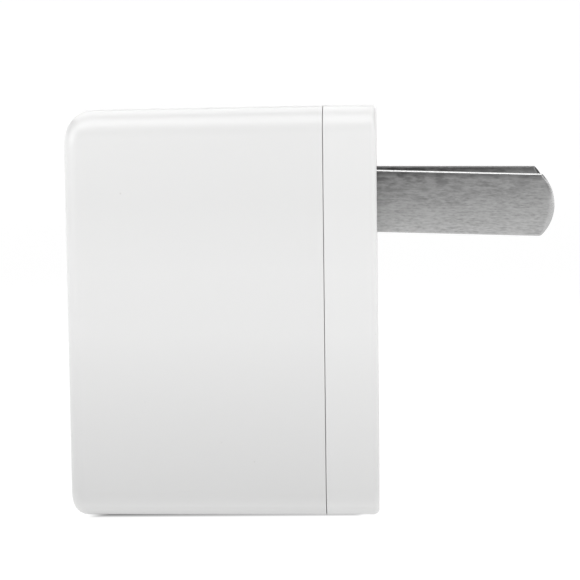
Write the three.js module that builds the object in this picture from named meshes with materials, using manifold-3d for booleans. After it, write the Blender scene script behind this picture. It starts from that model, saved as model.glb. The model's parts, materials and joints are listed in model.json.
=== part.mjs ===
// USB wall charger with a folding two-blade plug.
//
// Millimetres, +Z up. The charger stands on its lower end: the origin is the middle of that face.
// +X points into the wall, along the open blades. -X is the front face, with the USB socket.
// Left and right are those of a person who looks at the front face, so left is +Y.

import * as THREE from 'three';
import { mergeVertices } from 'three/addons/utils/BufferGeometryUtils.js';
import Module from 'manifold-3d';

const wasm = await Module();
wasm.setup();

// ---------------------------------------------------------------- driving dimensions

// Housing
const LENGTH = 31.5; // front face to wall face
const WIDTH = 28;
const HEIGHT = 41.6;
const WALL = 1.8;
const COVER_DEPTH = 5.4; // wall face to the seam
const SEAM_GAP = 0.12;
const LONG_EDGE_R = 2.4; // the four edges along X
const SMALLEST_CORNER_R = 0.3;
const FRONT_EDGE_R = 1.6;
const REAR_EDGE_R = 0.7;
const DRAFT_SIDE = 0.15; // how much narrower each side is at the front face
const DRAFT_TOP = 0.2;
const LIP_OFFSET = 1.0; // the cover's lip, from the outer surface
const LIP_LENGTH = 1.5;
const LIP_GAP = 0.1; // round the lip, in the front shell's recess
const LIP_END_GAP = 0.2;
const APERTURE_GAP = 0.3; // round the socket, in the front face

// Plug
const BLADE_WIDTH = 6.35;
const BLADE_THICKNESS = 1.5;
const BLADE_SPACING = 12.7;
const BLADE_REACH = 18.2; // wall face to tip
const BLADE_TIP_R = 4.4;
const BLADE_CHAMFER = 0.18;
const PIVOT_DEPTH = 3.75; // wall face to pivot
const PIVOT_HEIGHT = 31.9;
const ROTOR_R = 3.65;
const ROTOR_FLAT = 3.4; // pivot to each flat of the rotor
const ROTOR_KEY = 2.2; // side of the square neck that carries a blade
const STUB_R = 1.3;
const BEARING_GAP = 0.08;
const FIT_GAP = 0.15;
const SLOT_SLACK = 0.9; // behind a folded blade, for the play that the blades have

// USB socket
const SOCKET_Z = HEIGHT / 2;
const SOCKET_INNER_WIDTH = 12.5;
const SOCKET_INNER_HEIGHT = 5.12;
const SOCKET_SHEET = 0.3;
const SOCKET_LENGTH = 13.85;
const SOCKET_RECESS = 0.3; // front face to the socket's mouth
const TONGUE_WIDTH = 11;
const TONGUE_THICKNESS = 1.84;
const TONGUE_TOP_GAP = 0.64;
const USB_CONTACT_Y = [-3.5, -1, 1, 3.5];

// Circuit boards
const BOARD_THICKNESS = 1.2;
const BOARD_Y = 9.9; // component side of the main board, which faces -Y
const BOARD_X = [-13.3, 5.3];
const BOARD_Z = [2.2, 39];
const STAND_OFF = 0.1; // under each component

// Modelling
const PAST = 1; // how far a cutting tool reaches past what it cuts
const SINK = 0.4; // how far joined pieces reach into each other
const WELD_DISTANCE = 1e-4;
const QUARTER = Math.PI / 2;
const ROTOR_SIDES = 40; // sides of a circle, for the rotor, a larger round, a small one and a pin
const ROUND_SIDES = 20;
const SMALL_SIDES = 16;
const PIN_SIDES = 8;
const WIRE_STEPS = 14;
const LONG_WIRE_STEPS = 20;

// ---------------------------------------------------------------- worked-out places

const FRONT_X = -LENGTH / 2;
const REAR_X = LENGTH / 2;
const SEAM_X = REAR_X - COVER_DEPTH;
const PIVOT_X = REAR_X - PIVOT_DEPTH;
const BLADE_Y = BLADE_SPACING / 2;
const SWING = PIVOT_DEPTH + BLADE_REACH; // pivot to blade tip
const SOCKET_FRONT_X = FRONT_X + SOCKET_RECESS;
const SOCKET_REAR_X = SOCKET_FRONT_X + SOCKET_LENGTH;
const SOCKET_WIDTH = SOCKET_INNER_WIDTH + 2 * SOCKET_SHEET;
const SOCKET_HEIGHT = SOCKET_INNER_HEIGHT + 2 * SOCKET_SHEET;

// ---------------------------------------------------------------- materials

const finish = (color, roughness, metalness = 0) =>
  new THREE.MeshStandardMaterial({ color, roughness, metalness });

const casingPlastic = finish(0xeeeeec, 0.28);
const rotorPlastic = finish(0xe9e9e6, 0.38);
const bladeMetal = finish(0xa9a9a6, 0.34, 1);
const springMetal = finish(0xc09a5e, 0.35, 1);
const steel = finish(0xb9bbbe, 0.3, 1);
const socketMetal = finish(0xc6c8ca, 0.28, 1);
const socketPlastic = finish(0xf2f2ee, 0.45);
const goldPlate = finish(0xd8b25a, 0.25, 1);
const boardGreen = finish(0x1f5b38, 0.5);
const ferrite = finish(0x2b2a2c, 0.7);
const bobbinPlastic = finish(0x1c1c1e, 0.55);
const windingTape = finish(0xe3c32c, 0.4);
const copper = finish(0xa8562a, 0.35, 1);
const capacitorSleeve = finish(0x23242b, 0.4);
const capacitorGreen = finish(0x1d4a4f, 0.4);
const chipPlastic = finish(0x18181a, 0.6);
const discCeramic = finish(0x2f62b5, 0.45);
const resistorCoat = finish(0x8f8f84, 0.6);
const wireRed = finish(0xb4201c, 0.45);
const wireBlack = finish(0x17171a, 0.45);
const barrierFibre = finish(0xe8e4d2, 0.7);

// ---------------------------------------------------------------- solids

// A three.js geometry as a manifold-3d solid.
function solid(geometry) {
  const bare = geometry.index ? geometry.toNonIndexed() : geometry.clone();
  bare.deleteAttribute('normal');
  bare.deleteAttribute('uv');
  const merged = mergeVertices(bare, WELD_DISTANCE);
  return new wasm.Manifold(new wasm.Mesh({
    numProp: 3,
    vertProperties: merged.attributes.position.array,
    triVerts: new Uint32Array(merged.index.array),
  }));
}

// A manifold-3d solid as a three.js geometry.
function geometryOf(made) {
  const mesh = made.getMesh();
  const geometry = new THREE.BufferGeometry();
  geometry.setAttribute('position', new THREE.BufferAttribute(mesh.vertProperties, 3));
  geometry.setIndex(new THREE.BufferAttribute(mesh.triVerts, 1));
  geometry.computeVertexNormals();
  return geometry;
}

const join = (...solids) => solids.reduce((sum, next) => sum.add(next));
const cut = (body, ...tools) => tools.reduce((left, tool) => left.subtract(tool), body);

// A box between two corners.
function box([x0, x1], [y0, y1], [z0, z1]) {
  const geometry = new THREE.BoxGeometry(x1 - x0, y1 - y0, z1 - z0);
  geometry.translate((x0 + x1) / 2, (y0 + y1) / 2, (z0 + z1) / 2);
  return solid(geometry);
}

const span = (centre, size) => [centre - size / 2, centre + size / 2];

// A cylinder along Y, or along X.
function rodY(radius, [y0, y1], x, z, sides) {
  const geometry = new THREE.CylinderGeometry(radius, radius, y1 - y0, sides);
  geometry.translate(x, (y0 + y1) / 2, z);
  return solid(geometry);
}

function rodX(radius, [x0, x1], y, z, sides = SMALL_SIDES) {
  const geometry = new THREE.CylinderGeometry(radius, radius, x1 - x0, sides);
  geometry.rotateZ(QUARTER);
  geometry.translate((x0 + x1) / 2, y, z);
  return solid(geometry);
}

// A turned solid about Y. The profile is [radius, y] pairs from the axis, up, and back to the axis.
function turned(profile, sides = ROUND_SIDES) {
  return new THREE.LatheGeometry(profile.map(([r, y]) => new THREE.Vector2(r, y)), sides);
}

// A flat outline in X and Z, extruded along Y.
function plate(outline, [y0, y1], bevel = 0) {
  const geometry = new THREE.ExtrudeGeometry(outline, {
    depth: y1 - y0 - 2 * bevel,
    bevelEnabled: bevel > 0,
    bevelThickness: bevel,
    bevelSize: bevel,
    bevelOffset: -bevel,
    bevelSegments: 1,
    curveSegments: 12,
  });
  geometry.translate(0, 0, bevel);
  geometry.rotateX(QUARTER); // the outline's y becomes z, and its depth runs towards -Y
  geometry.translate(0, y1, 0);
  return geometry;
}

// A bent strip of sheet metal: its centreline in X and Z, its thickness, and its width along Y.
function bentStrip(points, thickness, [y0, y1], steps = 18) {
  const line = new THREE.SplineCurve(points.map(([x, z]) => new THREE.Vector2(x, z)));
  const sides = [[], []];
  for (let i = 0; i <= steps; i += 1) {
    const at = line.getPoint(i / steps);
    const along = line.getTangent(i / steps);
    const across = new THREE.Vector2(-along.y, along.x).multiplyScalar(thickness / 2);
    sides[0].push(at.clone().add(across));
    sides[1].unshift(at.clone().sub(across));
  }
  return plate(new THREE.Shape([...sides[0], ...sides[1]]), [y0, y1]);
}

// A round wire along a smooth line.
function wire(points, radius, steps = WIRE_STEPS) {
  const section = new THREE.Shape().absarc(0, 0, radius, 0, 4 * QUARTER);
  const line = new THREE.CatmullRomCurve3(points.map((p) => new THREE.Vector3(...p)));
  return new THREE.ExtrudeGeometry(section, { steps, curveSegments: 4, extrudePath: line });
}

// ---------------------------------------------------------------- housing outline

// How far from the seam towards the front face a place is: 0 at the seam and behind it, 1 at the front.
const draftShare = (x) => Math.max(0, (SEAM_X - x) / (SEAM_X - FRONT_X));

// The housing's cross-section at x, drawn inwards by inset, as a ring of points round +X.
function housingRing(x, inset, steps = 5) {
  const halfWidth = WIDTH / 2 - DRAFT_SIDE * draftShare(x) - inset;
  const low = inset;
  const high = HEIGHT - DRAFT_TOP * draftShare(x) - inset;
  const r = Math.max(LONG_EDGE_R - inset, SMALLEST_CORNER_R);
  const corners = [
    [halfWidth - r, low + r, -QUARTER],
    [halfWidth - r, high - r, 0],
    [r - halfWidth, high - r, QUARTER],
    [r - halfWidth, low + r, 2 * QUARTER],
  ];
  return corners.flatMap(([y, z, start]) => Array.from({ length: steps + 1 }, (_, i) => {
    const angle = start + (i / steps) * QUARTER;
    return new THREE.Vector3(x, y + r * Math.cos(angle), z + r * Math.sin(angle));
  }));
}

// A closed solid through rings of equal length, which follow each other along +X.
function loft(rings) {
  const count = rings[0].length;
  const last = (rings.length - 1) * count;
  const faces = [];
  for (let ring = 0; ring < rings.length - 1; ring += 1) {
    for (let i = 0; i < count; i += 1) {
      const a = ring * count + i;
      const b = ring * count + ((i + 1) % count);
      faces.push(a, b, b + count, a, b + count, a + count);
    }
  }
  for (let i = 1; i < count - 1; i += 1) {
    faces.push(0, i + 1, i, last, last + i, last + i + 1);
  }
  const geometry = new THREE.BufferGeometry();
  const places = rings.flat().flatMap((p) => [p.x, p.y, p.z]);
  geometry.setAttribute('position', new THREE.Float32BufferAttribute(places, 3));
  geometry.setIndex(faces);
  return solid(geometry);
}

// The rings of a rounded end edge: endX is the flat end, and towards is the side the body lies on.
function edgeRings(endX, towards, radius, steps = 4) {
  return Array.from({ length: steps + 1 }, (_, i) => {
    const angle = (i / steps) * QUARTER;
    const depth = radius * (1 - Math.cos(angle));
    return housingRing(endX + towards * depth, radius * (1 - Math.sin(angle)));
  });
}

// A straight stretch of the housing's section, drawn inwards by inset.
const housingBlock = ([x0, x1], inset) => loft([housingRing(x0, inset), housingRing(x1, inset)]);

// ---------------------------------------------------------------- front shell

// The rails that hold the main board's upper and lower edges.
const RAIL = { endX: 3, width: 0.7, gap: 0.2, overlap: 0.7, topSink: 0.1 };

// The cup that holds everything: walls, socket opening, rim for the cover's lip, board rails.
function frontShell() {
  const outside = loft([...edgeRings(FRONT_X, 1, FRONT_EDGE_R), housingRing(SEAM_X, 0)]);
  const inside = housingBlock([FRONT_X + WALL, SEAM_X + PAST], WALL);
  const rim = housingBlock([SEAM_X - LIP_LENGTH - LIP_END_GAP, SEAM_X + PAST], LIP_OFFSET - LIP_GAP);
  const opening = box(
    [FRONT_X - PAST, FRONT_X + WALL + PAST],
    span(0, SOCKET_WIDTH + 2 * APERTURE_GAP),
    span(SOCKET_Z, SOCKET_HEIGHT + 2 * APERTURE_GAP),
  );
  const railX = [FRONT_X + WALL - SINK, RAIL.endX];
  const railYs = [
    [BOARD_Y - RAIL.gap - RAIL.width, BOARD_Y - RAIL.gap],
    [BOARD_Y + BOARD_THICKNESS + RAIL.gap, BOARD_Y + BOARD_THICKNESS + RAIL.gap + RAIL.width],
  ];
  const railZs = [
    [WALL - SINK, BOARD_Z[0] + RAIL.overlap],
    [BOARD_Z[1] - RAIL.overlap, HEIGHT - WALL + RAIL.topSink],
  ];
  const rails = railYs.flatMap((y) => railZs.map((z) => box(railX, y, z)));
  return join(cut(outside, inside, rim, opening), ...rails);
}

// ---------------------------------------------------------------- rear cover

const BLOCK_BACK_X = 7.2; // the inner face of the block that holds the plug
const BLOCK_Y = 9.9;
const BLOCK_BELOW = 27.7; // below and above the pivot
const BLOCK_ABOVE = 7.3;
const BLOCK_Z = [PIVOT_HEIGHT - BLOCK_BELOW, PIVOT_HEIGHT + BLOCK_ABOVE];
const BAY_Y = 8.7;
const BAY_GAP = 0.2; // round the rotor
const BAY_Z = span(PIVOT_HEIGHT, 2 * (ROTOR_R + BAY_GAP));
const BEARING_R = STUB_R + BEARING_GAP;
const BEARING_Y = [-BLOCK_Y - PAST, BLOCK_Y + PAST];
const SLOT_WIDTH = 2.3;
const SLOT_END_GAP = 0.55; // past a folded blade's tip
const SLOT_END_Z = PIVOT_HEIGHT - SWING - SLOT_END_GAP;
const SLOT_FLOOR_X = PIVOT_X - BLADE_WIDTH / 2 - SLOT_SLACK;
const SCREW_BELOW = 6.4; // below and above the pivot
const SCREW_ABOVE = 5.6;
const SCREW_Z = [PIVOT_HEIGHT - SCREW_BELOW, PIVOT_HEIGHT + SCREW_ABOVE];
const SCREW_PILOT_R = 0.95;
const SCREW_DEPTH_X = 12.4;
const CORING = { width: 8.6, z: [15, 22.2] }; // hollow behind the land between the slots
const SCOOP = { depth: 3, halfWidth: 10, halfHeight: 4.6, z: SLOT_END_Z + 0.6, turns: 24, rows: 12 };

// The cover with its face, lip, blade slots, rotor bay, finger scoop and screw holes.
function rearCover() {
  const front = SEAM_X + SEAM_GAP;
  const cap = loft([housingRing(front, 0), ...edgeRings(REAR_X, -1, REAR_EDGE_R).reverse()]);
  const lip = housingBlock([SEAM_X - LIP_LENGTH, front + PAST], LIP_OFFSET);
  const hollow = housingBlock([SEAM_X - LIP_LENGTH - PAST, REAR_X - WALL], WALL);
  const block = box([BLOCK_BACK_X, REAR_X - WALL + SINK], [-BLOCK_Y, BLOCK_Y], BLOCK_Z);
  const bay = box([BLOCK_BACK_X - PAST, REAR_X + PAST], [-BAY_Y, BAY_Y], BAY_Z);
  const slots = [-BLADE_Y, BLADE_Y].map((y) => box(
    [SLOT_FLOOR_X, REAR_X + PAST],
    span(y, SLOT_WIDTH),
    [SLOT_END_Z, BAY_Z[0] + SINK],
  ));
  const bearing = [
    rodY(BEARING_R, BEARING_Y, PIVOT_X, PIVOT_HEIGHT, ROUND_SIDES),
    box([BLOCK_BACK_X - PAST, PIVOT_X], BEARING_Y, span(PIVOT_HEIGHT, 2 * BEARING_R)),
  ];
  const coring = box([BLOCK_BACK_X - PAST, REAR_X - WALL], span(0, CORING.width), CORING.z);
  const screwHoles = SCREW_Z.map((z) => rodX(SCREW_PILOT_R, [BLOCK_BACK_X - PAST, SCREW_DEPTH_X], 0, z));
  const scoop = new THREE.SphereGeometry(1, SCOOP.turns, SCOOP.rows);
  scoop.scale(SCOOP.depth, SCOOP.halfWidth, SCOOP.halfHeight);
  scoop.translate(REAR_X, 0, SCOOP.z);
  const body = join(cut(join(cap, lip), hollow), block);
  return cut(body, bay, ...slots, ...bearing, coring, ...screwHoles, solid(scoop));
}

// ---------------------------------------------------------------- folding plug

// Everything here is about the pivot, so the group that holds it sits at the pivot.
const COLLAR_Y = 8.45;
const STUB_Y = 9.6;

// The moulded rotor: a bar, two square necks that carry the blades, two collars and two stub axles.
function rotor() {
  const inner = BLADE_Y - BLADE_THICKNESS / 2 - FIT_GAP;
  const outer = BLADE_Y + BLADE_THICKNESS / 2 + FIT_GAP;
  const barrel = join(
    rodY(ROTOR_R, [-inner, inner], 0, 0, ROTOR_SIDES),
    rodY(ROTOR_R, [outer, COLLAR_Y], 0, 0, ROTOR_SIDES),
    rodY(ROTOR_R, [-COLLAR_Y, -outer], 0, 0, ROTOR_SIDES),
  );
  const flats = box([-ROTOR_FLAT, ROTOR_FLAT], [-WIDTH, WIDTH], [-ROTOR_FLAT, ROTOR_FLAT]);
  const neckEnd = COLLAR_Y - SINK;
  const necks = box(span(0, ROTOR_KEY), [-neckEnd, neckEnd], span(0, ROTOR_KEY));
  const stubs = [[neckEnd, STUB_Y], [-STUB_Y, -neckEnd]].map((y) => rodY(STUB_R, y, 0, 0, ROUND_SIDES));
  return join(barrel.intersect(flats), necks, ...stubs);
}

// One blade: a round root about the pivot with a square hole, and a broad curved tip.
function blade() {
  const half = BLADE_WIDTH / 2;
  const tipAngle = Math.asin(half / BLADE_TIP_R);
  const outline = new THREE.Shape();
  outline.absarc(0, 0, half, QUARTER, 3 * QUARTER, false);
  outline.absarc(SWING - BLADE_TIP_R, 0, BLADE_TIP_R, -tipAngle, tipAngle, false);
  outline.closePath();
  const hole = ROTOR_KEY / 2 + FIT_GAP;
  const keyway = box(span(0, 2 * hole), span(0, BLADE_THICKNESS + 2 * PAST), span(0, 2 * hole));
  return cut(solid(plate(outline, span(0, BLADE_THICKNESS), BLADE_CHAMFER)), keyway);
}

// ---------------------------------------------------------------- plug fittings inside the cover

const CRADLE_X = [5.9, 7.1];
const CRADLE_HALF_WIDTH = 9.7;
const CRADLE_UP = [-8.1, 7.1]; // below and above the pivot
const CRADLE_CUT_X = [CRADLE_X[0] - PAST, CRADLE_X[1] + PAST];
const FINGER = { y: 9.3, width: 1, height: 2.4, gap: 0.15 };
const WINDOW_WIDTH = 2.6;
const WINDOW_UP = [-4.6, 3.5];
const SCREW_CLEAR_R = 1;

// The plate that closes the bay from inside: two fingers hold the stub axles, two windows pass the contacts.
function rotorCradle() {
  const above = (heights) => heights.map((up) => PIVOT_HEIGHT + up);
  const sheet = box(CRADLE_X, [-CRADLE_HALF_WIDTH, CRADLE_HALF_WIDTH], above(CRADLE_UP));
  const fingers = [-1, 1].map((side) => box(
    [CRADLE_X[1] - SINK, PIVOT_X - STUB_R - FINGER.gap],
    span(side * FINGER.y, FINGER.width),
    span(PIVOT_HEIGHT, FINGER.height),
  ));
  const windows = [-BLADE_Y, BLADE_Y].map((y) => box(CRADLE_CUT_X, span(y, WINDOW_WIDTH), above(WINDOW_UP)));
  const holes = SCREW_Z.map((z) => rodX(SCREW_CLEAR_R, CRADLE_CUT_X, 0, z));
  return cut(join(sheet, ...fingers), ...windows, ...holes);
}

// Each leaf's line is [x, height above the pivot].
const abovePivot = (line) => line.map(([x, up]) => [x, PIVOT_HEIGHT + up]);

// A leaf that presses on a blade's round root, and ends behind the cradle where its wire is soldered.
const CONTACT_LINE = [
  [7.5, 2.8], [8.3, 1.2], [8.55, 0], [8.3, -1.2], [7, -3], [5.5, -4.2], [5.3, -6.2],
];
const CONTACT_LEAF = { thickness: 0.3, width: 1.4 };
const contactLeaf = (y) => (
  bentStrip(abovePivot(CONTACT_LINE), CONTACT_LEAF.thickness, span(y, CONTACT_LEAF.width))
);

// A bowed leaf behind the rotor that holds it open or folded.
const DETENT_LINE = [[7.35, -3.3], [7.75, -1.9], [8.05, 0], [7.75, 1.9], [7.35, 3.3]];
const DETENT_LEAF = { thickness: 0.25, width: 4.8, steps: 14 };
const detentLeaf = () => (
  bentStrip(abovePivot(DETENT_LINE), DETENT_LEAF.thickness, span(0, DETENT_LEAF.width), DETENT_LEAF.steps)
);

// A screw's [radius, distance from the top of its head], then the size of its cross recess.
const SCREW_PROFILE = [
  [0, 0], [0.9, 0], [1.3, 0.25], [1.5, 0.85], [0.75, 0.85], [0.75, 5.9], [0.35, 6.4], [0, 6.4],
];
const SCREW_HEAD_X = CRADLE_X[0] - 0.9;
const CROSS = { length: 1.5, width: 0.3, depth: 0.45 };

// A pan-head screw with a cross recess, along X, head towards -X.
function cradleScrew(z) {
  const body = turned(SCREW_PROFILE, SMALL_SIDES);
  body.rotateZ(-QUARTER);
  body.translate(SCREW_HEAD_X, 0, z);
  const crossX = [SCREW_HEAD_X - PAST, SCREW_HEAD_X + CROSS.depth];
  return cut(
    solid(body),
    box(crossX, span(0, CROSS.length), span(z, CROSS.width)),
    box(crossX, span(0, CROSS.width), span(z, CROSS.length)),
  );
}

// ---------------------------------------------------------------- USB socket

// The folded metal tube of the socket.
function socketShell() {
  const length = [SOCKET_FRONT_X, SOCKET_REAR_X];
  const tube = box(
    length,
    span(0, SOCKET_WIDTH),
    span(SOCKET_Z, SOCKET_HEIGHT),
  );
  const bore = box(
    [SOCKET_FRONT_X - PAST, SOCKET_REAR_X + PAST],
    span(0, SOCKET_INNER_WIDTH),
    span(SOCKET_Z, SOCKET_INNER_HEIGHT),
  );
  return cut(tube, bore);
}

const TONGUE_TOP = SOCKET_Z + SOCKET_INNER_HEIGHT / 2 - TONGUE_TOP_GAP;
const TONGUE_BOTTOM = TONGUE_TOP - TONGUE_THICKNESS;
const INSULATOR = { setBack: 8.9, backGap: 0.4, looseness: 0.3, channelWidth: 1.3, channelDepth: 0.5 };
const INSULATOR_FRONT_X = SOCKET_FRONT_X + INSULATOR.setBack;
const TONGUE_FRONT_X = SOCKET_FRONT_X + 0.9;
const USB_CONTACT = { sheet: 0.25, width: 1, tailWidth: 0.8, setBack: 1.6, clearance: 0.05, tailGap: 0.2 };

// The white block at the back of the socket, its tongue, and a channel for each contact.
function socketInsulator() {
  const block = box(
    [INSULATOR_FRONT_X, SOCKET_REAR_X - INSULATOR.backGap],
    span(0, SOCKET_INNER_WIDTH - INSULATOR.looseness),
    span(SOCKET_Z, SOCKET_INNER_HEIGHT - INSULATOR.looseness),
  );
  const tongue = box(
    [TONGUE_FRONT_X, INSULATOR_FRONT_X + PAST],
    span(0, TONGUE_WIDTH),
    [TONGUE_BOTTOM, TONGUE_TOP],
  );
  const channels = USB_CONTACT_Y.map((y) => box(
    [INSULATOR_FRONT_X - PAST, SOCKET_REAR_X + PAST],
    span(y, INSULATOR.channelWidth),
    [TONGUE_BOTTOM - INSULATOR.channelDepth, TONGUE_BOTTOM],
  ));
  return cut(join(block, tongue), ...channels);
}

// One contact: a strip under the tongue that turns down to the small board.
function usbContact(y) {
  const { sheet, width, tailWidth, setBack, clearance, tailGap } = USB_CONTACT;
  const top = TONGUE_BOTTOM - clearance;
  const tailX = [SOCKET_REAR_X + tailGap, SOCKET_REAR_X + tailGap + sheet];
  const strip = box([SOCKET_FRONT_X + setBack, tailX[1]], span(y, width), [top - sheet, top]);
  const tail = box(tailX, span(y, tailWidth), [USB_BOARD_TOP + STAND_OFF, top]);
  return join(strip, tail);
}

// ---------------------------------------------------------------- circuit boards

const USB_BOARD_TOP = SOCKET_Z - SOCKET_INNER_HEIGHT / 2 - SOCKET_SHEET - STAND_OFF;
const USB_BOARD_X = [-13.2, 2.3];
const USB_BOARD_Y = [-8.6, BOARD_Y - STAND_OFF];
const USB_BOARD_THICKNESS = 1;

const mainBoard = () => box(BOARD_X, [BOARD_Y, BOARD_Y + BOARD_THICKNESS], BOARD_Z);
const usbBoard = () => box(USB_BOARD_X, USB_BOARD_Y, [USB_BOARD_TOP - USB_BOARD_THICKNESS, USB_BOARD_TOP]);

// The fibre sheet that parts the mains side from the low-voltage side.
const BARRIER = { x: [-13.1, 4.5], y: [-11, BOARD_Y - STAND_OFF], z: [24.7, 25.1] };
const insulationBarrier = () => box(BARRIER.x, BARRIER.y, BARRIER.z);

// ---------------------------------------------------------------- transformer

// Everything here is about the transformer's middle. The winding's axis is X.
const CORE = { length: 12.6, width: 13, depth: 6, plate: 1.4, leg: 1.4, centreLeg: 2.8, halfGap: 0.05 };
const BOBBIN = { length: 9.4, flange: 0.8, tubeZ: 4.6, tubeY: 7.8, flangeZ: 9.8, flangeY: 11.2, gap: 0.25 };
const PIN_RAIL = { width: 1.6, footY: 6.45 };
const WINDING = { length: 7.3, z: 9, y: 10.4, r: 1.8, gap: 0.15, steps: 5 };
const CORE_TAPE = { gap: 0.1, thickness: 0.25, width: 4.6 };

// One E-shaped ferrite half. side is -1 or 1 along X.
function coreHalf(side) {
  const outer = (side * CORE.length) / 2;
  const plateX = [outer - side * CORE.plate, outer].sort((a, b) => a - b);
  const legX = [side * CORE.halfGap, outer - side * SINK].sort((a, b) => a - b);
  const depth = span(0, CORE.depth);
  const legZ = (CORE.width - CORE.leg) / 2;
  return join(
    box(plateX, depth, span(0, CORE.width)),
    box(legX, depth, span(0, CORE.centreLeg)),
    box(legX, depth, span(legZ, CORE.leg)),
    box(legX, depth, span(-legZ, CORE.leg)),
  );
}

// The moulded bobbin: a square tube on the centre leg, two flanges, and a pin rail under each.
function bobbin() {
  const length = span(0, BOBBIN.length);
  const tube = box(length, span(0, BOBBIN.tubeY), span(0, BOBBIN.tubeZ));
  const flangeX = (BOBBIN.length - BOBBIN.flange) / 2;
  const flanges = [-1, 1].map((side) => join(
    box(span(side * flangeX, BOBBIN.flange), span(0, BOBBIN.flangeY), span(0, BOBBIN.flangeZ)),
    box(
      span(side * (flangeX - (PIN_RAIL.width - BOBBIN.flange) / 2), PIN_RAIL.width),
      [BOBBIN.flangeY / 2 - SINK, PIN_RAIL.footY],
      span(0, BOBBIN.flangeZ),
    ),
  ));
  const bore = box(
    span(0, CORE.length),
    span(0, CORE.depth + 2 * BOBBIN.gap),
    span(0, CORE.centreLeg + 2 * BOBBIN.gap),
  );
  return cut(join(tube, ...flanges), bore);
}

// The copper and tape wound on the bobbin, as one rounded block.
function winding() {
  const outline = new THREE.Shape();
  const [y, z, r] = [WINDING.y / 2, WINDING.z / 2, WINDING.r];
  outline.absarc(y - r, z - r, r, 0, QUARTER, false);
  outline.absarc(r - y, z - r, r, QUARTER, 2 * QUARTER, false);
  outline.absarc(r - y, r - z, r, 2 * QUARTER, 3 * QUARTER, false);
  outline.absarc(y - r, r - z, r, 3 * QUARTER, 4 * QUARTER, false);
  const block = new THREE.ExtrudeGeometry(outline, {
    depth: WINDING.length,
    bevelEnabled: false,
    curveSegments: WINDING.steps,
  });
  block.translate(0, 0, -WINDING.length / 2);
  block.rotateX(QUARTER); // outline y to z, depth to -Y
  block.rotateZ(QUARTER); // outline x to Y, depth to X
  const bore = box(
    span(0, BOBBIN.length),
    span(0, BOBBIN.tubeY + 2 * WINDING.gap),
    span(0, BOBBIN.tubeZ + 2 * WINDING.gap),
  );
  return cut(solid(block), bore);
}

// The yellow tape round both ferrite halves.
function coreTape() {
  const { gap, thickness, width } = CORE_TAPE;
  const inner = [CORE.length + 2 * gap, CORE.width + 2 * gap];
  const outer = inner.map((size) => size + 2 * thickness);
  const band = box(span(0, outer[0]), span(0, width), span(0, outer[1]));
  return cut(band, box(span(0, inner[0]), span(0, width + PAST), span(0, inner[1])));
}

// ---------------------------------------------------------------- board components

// Each stands on +Y 0 at its foot and grows along +Y, so a half turn about X puts it on the main board.

// An electrolytic capacitor with its crimp groove and recessed top.
const CAN = { edge: 0.4, grooveFrom: 1.3, grooveTo: 1.9, grooveDepth: 0.3, rimWidth: 0.9, rimHeight: 0.2 };

function canCapacitor(radius, height) {
  const { edge, grooveFrom, grooveTo, grooveDepth, rimWidth, rimHeight } = CAN;
  return turned([
    [0, 0],
    [radius - edge, 0],
    [radius, edge],
    [radius, grooveFrom],
    [radius - grooveDepth, (grooveFrom + grooveTo) / 2],
    [radius, grooveTo],
    [radius, height - edge],
    [radius - edge, height],
    [radius - rimWidth, height],
    [radius - rimWidth, height - rimHeight],
    [0, height - rimHeight],
  ]);
}

// A drum-core choke with its winding between two flanges.
const DRUM_PROFILE = [[0, 0], [2.5, 0], [2.5, 1], [2.2, 1.2], [2.2, 5], [2.5, 5.2], [2.5, 6.2], [0, 6.2]];
const drumChoke = () => turned(DRUM_PROFILE);

// A power resistor that stands on one end, with its far lead bent back down beside it.
const LEAD_R = 0.3;
const RESISTOR_PROFILE = [[0, 0.8], [1.1, 0.8], [1.3, 1.1], [1.3, 6.9], [1.1, 7.2], [0, 7.2]];
const RESISTOR_FOOT = [0, 1.5];
const RESISTOR_LEAD = [[0, 7, 0], [0, 7.9, 0.3], [0, 8.1, 1.1], [0, 7.5, 1.8], [0, 4, 1.9], [0, 0, 1.9]];

function standingResistor() {
  const body = solid(turned(RESISTOR_PROFILE, SMALL_SIDES));
  const foot = rodY(LEAD_R, RESISTOR_FOOT, 0, 0, PIN_SIDES);
  return join(body, foot, solid(wire(RESISTOR_LEAD, LEAD_R)));
}

// A moulded package with a row of legs along each long side.
const LEG = { under: 0.25, height: 0.5, reach: 0.6, share: 0.4 };

function chipPackage(length, width, height, legs) {
  const body = box(span(0, width), [LEG.under, height], span(0, length));
  const pitch = length / legs;
  const rows = Array.from({ length: legs }, (_, i) => {
    const z = (i - (legs - 1) / 2) * pitch;
    return box(span(0, width + 2 * LEG.reach), [0, LEG.height], span(z, pitch * LEG.share));
  });
  return join(body, ...rows);
}

// A ceramic disc on two legs. The disc's axis is X.
const DISC = { radius: 3.4, thickness: 2.4, height: 4.1, legZ: 2 };

function discCapacitor() {
  const disc = rodX(DISC.radius, span(0, DISC.thickness), DISC.height, 0, ROUND_SIDES);
  const legs = [-DISC.legZ, DISC.legZ].map((z) => rodY(LEAD_R, [0, DISC.height], 0, z, PIN_SIDES));
  return join(disc, ...legs);
}

// ---------------------------------------------------------------- assembly

const charger = new THREE.Group();

function addPart(parent, name, shape, material, [x, y, z] = [0, 0, 0]) {
  const geometry = shape.isBufferGeometry ? shape : geometryOf(shape);
  const mesh = new THREE.Mesh(geometry, material);
  mesh.name = name;
  mesh.position.set(x, y, z);
  parent.add(mesh);
  return mesh;
}

// A component on the main board, at x and z on its component side.
function addOnBoard(name, shape, material, x, z) {
  const mesh = addPart(charger, name, shape, material, [x, BOARD_Y - STAND_OFF, z]);
  mesh.rotation.x = 2 * QUARTER;
}

addPart(charger, 'front_shell', frontShell(), casingPlastic);
addPart(charger, 'rear_cover', rearCover(), casingPlastic);

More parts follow.
